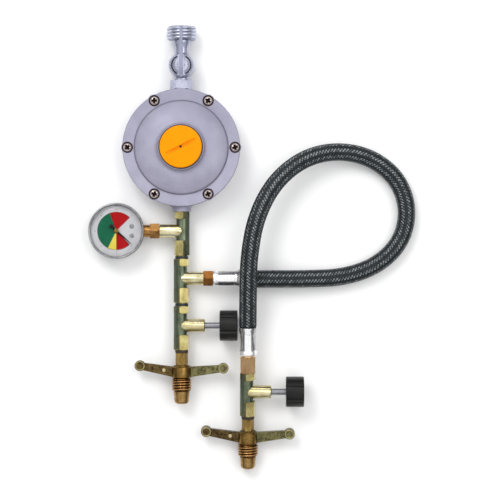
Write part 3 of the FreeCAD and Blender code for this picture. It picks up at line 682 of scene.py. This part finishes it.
def make_hose():
    """The braided hose and its centreline's points."""
    step = 0.0006
    around = 150
    line, length = evenly(hose_line(), step)
    turn = np.arange(around) / around
    vertices, red, green = [], [], []
    for index, (point, side, up) in enumerate(carried_frames(line)):
        along = index * length / (len(line) - 1)
        height, chance = weave(turn, np.full(around, along), min(along, length - along))
        radius = BRAID_RADIUS - BRAID_DEPTH * (1 - height)
        angle = 2 * math.pi * turn
        sideways = np.outer(radius * np.cos(angle), side)
        vertices.append(np.array(point) + sideways + np.outer(radius * np.sin(angle), up))
        red.append(height)
        green.append(chance)
    faces = []
    for ring in range(len(line) - 1):
        for k in range(around):
            after = (k + 1) % around
            low, high = ring * around, (ring + 1) * around
            faces.append((low + k, low + after, high + after, high + k))
    faces.append(tuple(range(around - 1, -1, -1)))
    faces.append(tuple((len(line) - 1) * around + k for k in range(around)))
    mesh = bpy.data.meshes.new("hose_braid")
    mesh.from_pydata(np.concatenate(vertices).tolist(), [], faces)
    tones = mesh.color_attributes.new("weave", "FLOAT_COLOR", "POINT")
    reds, greens = np.concatenate(red), np.concatenate(green)
    colours = np.stack([reds, greens, reds, np.ones(len(reds))], axis=1)
    tones.data.foreach_set("color", colours.astype(np.float32).ravel())
    piece = add_piece("hose_braid", mesh, "regulator", [braid_material()])
    mesh.set_sharp_from_angle(angle=math.radians(80))
    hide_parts("hose")
    return piece, line


HOSE, hose_points = make_hose()


# Pieces that stand for CAD nodes, with rounded edges and finer surfaces

def choose(piece, place, pick):
    """Give each face the material index that pick returns for its middle, in the place's frame.

    pick gets the middle in millimetres.
    """
    back = place.inverted()
    for face in piece.data.polygons:
        face.material_index = pick(back @ face.center / MM)


BRANCH_START = 7.8          # tee's zones, in millimetres in its own frame
RUN_START = -8.2
RUN_END = -32.7


def tee_zone(point):
    """0 on the collars, 1 on the run between them, 2 on the branch."""
    if point.x > BRANCH_START:
        return 2
    if RUN_END < point.y < RUN_START:
        return 1
    return 0


def make_tees():
    for node, place in TEES.items():
        # the side along X that gets painted shade: the one away from the branch
        side = 1 if node == "gauge_tee" else -1
        piece = refined(node, 0.0004, [CHROMATE[side], OLIVE[side], BRANCH_GOLD])
        choose(piece, place, tee_zone)


def make_plain_copies():
    """Copies that only need their edges rounded, with their finish and slot."""
    wanted = [
        ("regulator_body", 0.0006, CAST, "cast_aluminium"),
        ("regulator_cover", 0.0004, COVER, "cast_aluminium"),
        ("adjuster_cap", 0.0003, YELLOW, "cap_plastic"),
        ("outlet_valve_body", 0.0005, ZINC, "zinc_alloy"),
        ("gauge_case", 0.0003, NICKEL, "nickel"),
        ("gauge_socket", 0.0002, COPPER, "copper_brass"),
        ("gauge_adapter_nut", 0.0004, COPPER, "copper_brass"),
        ("hose_nut", 0.0004, DARK_COPPER, "copper_brass"),
        ("hose_adapter_2", 0.0004, PALE_COPPER, "copper_brass"),
    ]
    for number in ("1", "2"):
        wanted.append(("valve_knob_" + number, 0.0006, BLACK, "black_plastic"))
        wanted.append(("connector_nipple_" + number, 0.0003, NECK_BRONZE, "chromated_brass"))
    for node, bevel, material, slot in wanted:
        refined(node, bevel, [material])


make_tees()
make_plain_copies()


# Cover: screws with painted shadow in their seats and recesses, a painted shadow ring at the dome's
# foot and painted shade in the cap's pilot hole

def cross_outline(length, width):
    """Outline of a cross recess, from its right arm anticlockwise."""
    long, short = length / 2, width / 2
    return [(long, short), (short, short), (short, long),
            (-short, long), (-short, short), (-long, short),
            (-long, -short), (-short, -short), (-short, -long),
            (short, -long), (short, -short), (long, -short)]


def prism(outline, low, high, place):
    """Vertices and faces of an outline carried from one height to another."""
    count = len(outline)
    vertices = [place @ Vector((x, y, z)) for z in (low, high) for x, y in outline]
    faces = [tuple(range(count - 1, -1, -1)), tuple(range(count, 2 * count))]
    faces += [(k, (k + 1) % count, count + (k + 1) % count, count + k) for k in range(count)]
    return vertices, faces


def gather(shapes):
    """Several vertex and face lists as one."""
    vertices, faces = [], []
    for more, rings in shapes:
        start = len(vertices)
        vertices += more
        faces += [tuple(start + k for k in ring) for ring in rings]
    return vertices, faces


def ring_solid(outline, place, steps=48, first=0.0, last=360.0):
    """Vertices and faces of a closed outline of (radius, height) turned about local Z."""
    whole = last - first > 359.9
    turns = steps if whole else steps + 1
    vertices = []
    for step in range(turns):
        angle = math.radians(first + (last - first) * step / steps)
        vertices += [place @ Vector((radius * math.cos(angle), radius * math.sin(angle), height))
                     for radius, height in outline]
    count = len(outline)
    faces = []
    for step in range(steps):
        here = step * count
        there = (step + 1) % turns * count
        for k in range(count):
            after = (k + 1) % count
            faces.append((here + k, there + k, there + after, here + after))
    if not whole:
        faces.append(tuple(range(count)))
        faces.append(tuple(steps * count + k for k in range(count - 1, -1, -1)))
    return vertices, faces


def screw_places():
    """One frame for each cover screw, each with its own turn of the driver recess."""
    places = []
    for step in range(6):
        angle = math.radians(60 * step)
        centre = (SCREW_CIRCLE * math.cos(angle), SCREW_CIRCLE * math.sin(angle), 0)
        recess_turn = Matrix.Rotation(math.radians(17 + 37 * step), 4, "Z")
        places.append(Matrix.Translation(centre) @ recess_turn)
    return places


def make_cover_trim():
    """Sections are (radius, height) outlines in metres, the heights above the table."""
    head = [(0.0001, 0.0334), (0.0046, 0.0334), (0.0046, 0.0351), (0.0044, 0.0355),
            (0.0037, 0.0362), (0.0024, 0.0367), (0.0001, 0.0369)]
    seat = [(0.0047, 0.0334), (0.0063, 0.0334), (0.0063, 0.0339), (0.0059, 0.0343),
            (0.0050, 0.0343)]
    # dark ring at the dome's foot: painted shadow along the step
    groove = [(0.0525, 0.0349), (0.0531, 0.0349), (0.0531, 0.03515), (0.0528, 0.0353),
              (0.0525, 0.03515)]
    cross = cross_outline(0.0064, 0.0030)
    places = screw_places()
    heads = gather(ring_solid(head, place) for place in places)
    seats = gather(ring_solid(seat, place) for place in places)
    # dark crosses: painted shade in the driver recesses
    recesses = gather(prism(cross, 0.0345, 0.03705, place) for place in places)
    screws = new_piece("cover_screw_heads", *heads, "regulator", [SCREW_STEEL])
    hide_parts("cover_screws")
    # dark rings round the heads: painted shadow in the screws' seats
    new_piece("screw_seat_shadows", *seats, "regulator", [PAINTED_SHADE_DARK])
    new_piece("screw_recess_shadows", *recesses, "regulator", [RECESS], smooth=False)
    new_piece("dome_foot_shadow", *ring_solid(groove, Matrix(), 160), "regulator", [PAINTED_SHADE_DARK])


def make_cap_hole():
    """Painted shade in the pilot hole in the middle of the cap."""
    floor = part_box("adjuster_cap")[1].z - 0.0012
    hole_shade = [(0.0001, floor - 0.0006), (0.00135, floor - 0.0006), (0.00135, floor),
              (0.0009, floor - 0.0003), (0.0001, floor - 0.0004)]
    new_piece("cap_hole_shade", *ring_solid(hole_shade, Matrix(), 24), "cap", [PAINTED_SHADE_DARK])


make_cover_trim()
make_cap_hole()


# Outlet valve

FIN_REACH = 2.6             # half the lever fin's width, in millimetres
FIN_FOOT = 35.0


def lever_zone(point):
    """0 on the fin, 1 on the hub."""
    return 0 if abs(point.x) < FIN_REACH and point.z > FIN_FOOT else 1


def make_lever():
    lever = refined("outlet_lever", 0.0005, [ZINC_DARK, ZINC])
    choose(lever, Matrix(), lever_zone)


def make_valve_trim():
    """Painted shadow in the groove either side of the lever's hub."""
    place = Matrix.Translation((0, OUTLET_VALVE_Y, 0))
    groove = [(0.00985, 0.0312), (0.01155, 0.0312), (0.01155, 0.0322), (0.0107, 0.0326),
              (0.00985, 0.0322)]
    sides = [ring_solid(groove, place, 36, first, first + 136.0) for first in (-68.0, 112.0)]
    new_piece("valve_groove_shadow", *gather(sides), "regulator", [SHADOW])


make_lever()
make_valve_trim()


# Threads

def on_ring(radius, height, part):
    """Point on a ring about the local -Y line, a part of a turn round it."""
    angle = 2 * math.pi * part
    return Vector((radius * math.cos(angle), -height, radius * math.sin(angle)))


THREAD_CHAMFER = 0.0011
THREAD_CHAMFER_LENGTH = 0.0024
THREAD_LEAD_IN = 0.0022


def thread(name, place, start, end, crest, root, pitch, bore, body, material):
    """Threaded sleeve about the local -Y line: a helical ridge, a bore and two chamfered ends."""
    around = 110
    along = max(24, int((end - start) / pitch * 14))
    vertices, ridges = [], []
    for row in range(along + 1):
        height = start + (end - start) * row / along
        room = min(1.0, (height - start) / (pitch * 0.5), (end - height) / THREAD_LEAD_IN)
        to_end = min(height - start, end - height)
        eased = max(0.0, 1 - to_end / THREAD_CHAMFER_LENGTH) ** 2
        for step in range(around):
            phase = (height / pitch - step / around) % 1.0
            ridge = math.sin(math.pi * phase) ** 0.9 * max(0.0, room)
            radius = root + (crest - root) * ridge - THREAD_CHAMFER * eased
            ridges.append(ridge)
            vertices.append(place @ on_ring(radius, height, step / around))
    for height in (start, end):
        vertices += [place @ on_ring(bore, height, step / around) for step in range(around)]
    faces = []
    inner = (along + 1) * around
    pairs = [(row * around, (row + 1) * around) for row in range(along)]
    pairs += [(along * around, inner + around), (inner + around, inner), (inner, 0)]
    for low, high in pairs:
        for step in range(around):
            after = (step + 1) % around
            faces.append((low + step, low + after, high + after, high + step))
    piece = new_piece(name, vertices, faces, body, [material])
    piece.data.set_sharp_from_angle(angle=math.radians(60))
    # ridge height, which the thread materials turn into painted shade and highlight
    heights = piece.data.attributes.new("ridge", "FLOAT", "POINT")
    ridges += [0.5] * (len(vertices) - len(ridges))
    heights.data.foreach_set("value", ridges)
    return piece


def make_threads():
    foot = (0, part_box("outlet_end")[0].y, middle_of("outlet_end").z)
    outlet = axes_at(foot, (-1, 0, 0), (0, -1, 0))
    head = thread("outlet_thread", outlet, 0.0, 0.0156, crest=0.0170, root=0.0159, pitch=0.0036,
                  bore=0.0050, body="regulator", material=THREAD_ZINC)
    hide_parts("outlet_end")
    for number, place in LEG.items():
        piece = thread("nut_thread_" + number + "_fine", place, THREAD_START, THREAD_END,
                       crest=0.01125, root=0.0095, pitch=0.00295, bore=0.00765,
                       body="nut_" + number, material=THREAD_COPPER)
        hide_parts("nut_thread_" + number)


make_threads()


# Wing nuts

HUB_REACH = 9.6             # in millimetres


def wing_zone(point):
    """0 on one cast wing, 1 on the turned hub, 2 on the other, browner wing."""
    if abs(point.x) < HUB_REACH:
        return 1
    return 2 if point.x < 0 else 0


def make_wing_nuts():
    """Sections are (radius, distance along the piece's own line) outlines in metres."""
    boss = [(0.0001, 0.0026), (0.0021, 0.0026), (0.0021, 0.0031), (0.0016, 0.0035),
            (0.0001, 0.0036)]
    rim = [(0.0041, 0.0034), (0.0054, 0.0034), (0.0054, 0.0037), (0.0050, 0.0040),
           (0.0045, 0.0040), (0.0041, 0.0037)]
    # dark brown ring on the nipple's neck, next to the tee
    neck_ring_outline = [(0.0062, TEE_LENGTH), (0.0073, TEE_LENGTH), (0.0074, TEE_LENGTH + 0.0020),
             (0.0070, TEE_LENGTH + 0.0034), (0.0062, TEE_LENGTH + 0.0038)]
    lip = [(0.0085, 0.0672), (0.0092, 0.0672), (0.0098, 0.0678), (0.0098, 0.0687), (0.0085, 0.0687)]
    for number, place in LEG.items():
        body = "nut_" + number
        nut = refined("wing_nut_" + number, 0.0007, [BRONZE, HUB_BRONZE, BROWN_BRONZE])
        choose(nut, place, wing_zone)
        spot = place @ Matrix.Translation((*WING_BOSS, 0))
        new_piece("wing_boss_" + number, *ring_solid(boss, spot, 24), body, [BOSS_BRONZE])
        tips = [place @ Matrix.Translation((side * WING_REACH, -rise, 0))
                for side, rise in WING_TIPS.items()]
        rims = gather(ring_solid(rim, tip, 40) for tip in tips)
        new_piece("wing_rims_" + number, *rims, body, [TIP_BRONZE])
        line = place @ Matrix.Rotation(math.radians(90), 4, "X")
        new_piece("hub_lip_" + number, *ring_solid(lip, line, 64), body, [HUB_BRONZE])
        new_piece("neck_ring_" + number, *ring_solid(neck_ring_outline, line, 48), "regulator",
                  [NECK_RING_BROWN])


make_wing_nuts()


# Ferrules

CRIMP_START = 0.0070        # crimped waist, from the ferrule's mouth
CRIMP_END = 0.0260


def make_ferrules():
    """Bright ferrules with painted shade on their slanted flats."""
    mouths = {"hose_ferrule_1": Vector(HOSE_ROUTE[0]), "hose_ferrule_2": Vector(HOSE_ROUTE[-1])}
    for node, mouth in mouths.items():
        piece = refined(node, 0.0003, [FERRULE, FERRULE_SHADED_FLATS], 2)
        for face in piece.data.polygons:
            slanted = 0.3 < abs(face.normal.z) < 0.9
            crimped = CRIMP_START < (face.center - mouth).length < CRIMP_END
            face.material_index = 1 if slanted and crimped else 0


make_ferrules()


# Gauge

def sector(first, last, low_r, high_r, bottom, top, place):
    """Vertices and faces of a thin ring sector between two angles in degrees."""
    outline = [(low_r, bottom), (high_r, bottom), (high_r, top), (low_r, top)]
    return ring_solid(outline, place, max(4, int(abs(last - first) / 3)), first, last)


def numeral(text, place, height):
    """Vertices and faces of a small raised figure."""
    curve = bpy.data.curves.new("figure", "FONT")
    curve.body = text
    curve.size = height
    curve.align_x = "CENTER"
    curve.align_y = "CENTER"
    curve.extrude = 0.00003
    holder = bpy.data.objects.new("figure", curve)
    SCENE.collection.objects.link(holder)
    bpy.context.view_layer.update()
    mesh = bpy.data.meshes.new_from_object(holder)
    vertices = [place @ vertex.co for vertex in mesh.vertices]
    faces = [tuple(face.vertices) for face in mesh.polygons]
    bpy.data.objects.remove(holder)
    return vertices, faces


def upright_at(node, height=0.0):
    """Frame with its Z up through the middle of a node's box."""
    middle = middle_of(node)
    return Matrix.Translation((middle.x, middle.y, height))


def make_dial():
    """Coloured fields, the lines round them and plain figures, a little proud of the dial."""
    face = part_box("gauge_dial")[1].z
    line_top = face + 0.00014
    place = upright_at("gauge_dial")
    start, red_end, green_end, yellow_end, end = DIAL_EDGES
    fields = [("dial_red", DIAL_RED, [(start, red_end), (yellow_end, end)]),
              ("dial_green", DIAL_GREEN, [(red_end, green_end)]),
              ("dial_yellow", DIAL_YELLOW, [(green_end, yellow_end)])]
    for name, material, spans in fields:
        shapes = [sector(*span, DIAL_HUB_R, DIAL_FIELD_R, face - 0.0002, face + 0.00008, place)
                  for span in spans]
        new_piece(name, *gather(shapes), "regulator", [material])
    ink = [sector(angle - 0.5, angle + 0.5, 0.0040, DIAL_FIELD_R, face, line_top, place)
           for angle in DIAL_EDGES]
    ink.append(sector(start, end, 0.0212, 0.0216, face, line_top, place))
    for step, text in enumerate(("0", "2", "4", "6", "8", "10", "12")):
        angle = math.radians(-45 - 45 * step)
        centre = (DIAL_FIGURE_R * math.cos(angle), DIAL_FIGURE_R * math.sin(angle), face + 0.0001)
        ink.append(numeral(text, place @ Matrix.Translation(centre), 0.0026))
    new_piece("dial_figures", *gather(ink), "regulator", [DIAL_INK], smooth=False)


def make_bezel():
    """Polished bezel with a painted dark reflection along its outer corner."""
    refined("gauge_bezel", 0.0003, [NICKEL])
    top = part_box("gauge_bezel")[1]
    reach = top.x - middle_of("gauge_bezel").x
    # dark ring: painted reflection on the bezel's outer corner
    edge = [(reach - 0.0012, top.z - 0.0004), (reach - 0.0001, top.z - 0.0015),
            (reach, top.z - 0.0010), (reach - 0.0005, top.z - 0.0003),
            (reach - 0.0011, top.z + 0.00005)]
    new_piece("bezel_edge_reflection", *ring_solid(edge, upright_at("gauge_bezel"), 120), "regulator",
              [RIM_REFLECTION_DARK])


POINTER_HUB = 3.1           # in millimetres


def pointer_zone(point):
    """0 on the needle, 1 on the hub."""
    return 1 if point.length < POINTER_HUB else 0


def make_pointer():
    pointer = refined("gauge_pointer", 0.0001, [BLACK, HUB_BRONZE])
    choose(pointer, upright_at("gauge_dial", POINTER_Z), pointer_zone)


make_bezel()
make_dial()
make_pointer()


# Stage

FLOOR_REACH = 6.0


def make_floor():
    mesh = bpy.data.meshes.new("floor")
    corners = [(across * FLOOR_REACH, along * FLOOR_REACH, 0)
               for across, along in ((-1, -1), (1, -1), (1, 1), (-1, 1))]
    mesh.from_pydata(corners, [], [(0, 1, 2, 3)])
    floor = bpy.data.objects.new("floor", mesh)
    SCENE.collection.objects.link(floor)
    made = Shader("studio floor", 0.0, 0.9)
    cloud = made.noise(3.0, 1.0)
    made.colour(made.ramp(cloud, [(0.3, (0.94, 0.94, 0.94)), (0.7, (0.96, 0.96, 0.96))]))
    mesh.materials.append(made.material)
    floor.location.z = -0.0001


def area_light(name, place, size, power):
    data = bpy.data.lights.new(name, "AREA")
    data.shape = "RECTANGLE"
    data.size, data.size_y = size
    data.energy = power
    light = bpy.data.objects.new(name, data)
    light.location = place
    aim = Vector(LAMP_TARGET) - Vector(place)
    light.rotation_euler = aim.to_track_quat("-Z", "Y").to_euler()
    SCENE.collection.objects.link(light)


def make_light():
    """Soft box overhead that falls away towards the horizon, two large lamps and a long low one."""
    world = bpy.data.worlds.new("studio")
    world.use_nodes = True
    nodes, links = world.node_tree.nodes, world.node_tree.links
    way = nodes.new("ShaderNodeTexCoord")
    split = nodes.new("ShaderNodeSeparateXYZ")
    fall = nodes.new("ShaderNodeValToRGB")
    links.new(way.outputs["Generated"], split.inputs["Vector"])
    links.new(split.outputs["Z"], fall.inputs["Fac"])
    links.new(fall.outputs["Color"], nodes["Background"].inputs["Color"])
    low, high = fall.color_ramp.elements
    low.position, low.color = 0.10, (0.10, 0.11, 0.12, 1.0)
    high.position, high.color = 0.85, (1.0, 1.0, 1.0, 1.0)
    nodes["Background"].inputs["Strength"].default_value = 1.0
    SCENE.world = world
    area_light("key", (-0.6, 0.9, 1.6), (0.8, 0.8), 14)
    area_light("fill", (0.9, 0.2, 1.8), (1.2, 1.2), 8)
    area_light("strip", (0.08, 1.6, 1.0), (2.5, 0.5), 6)
    SCENE.view_settings.view_transform = "Standard"


make_floor()
make_light()
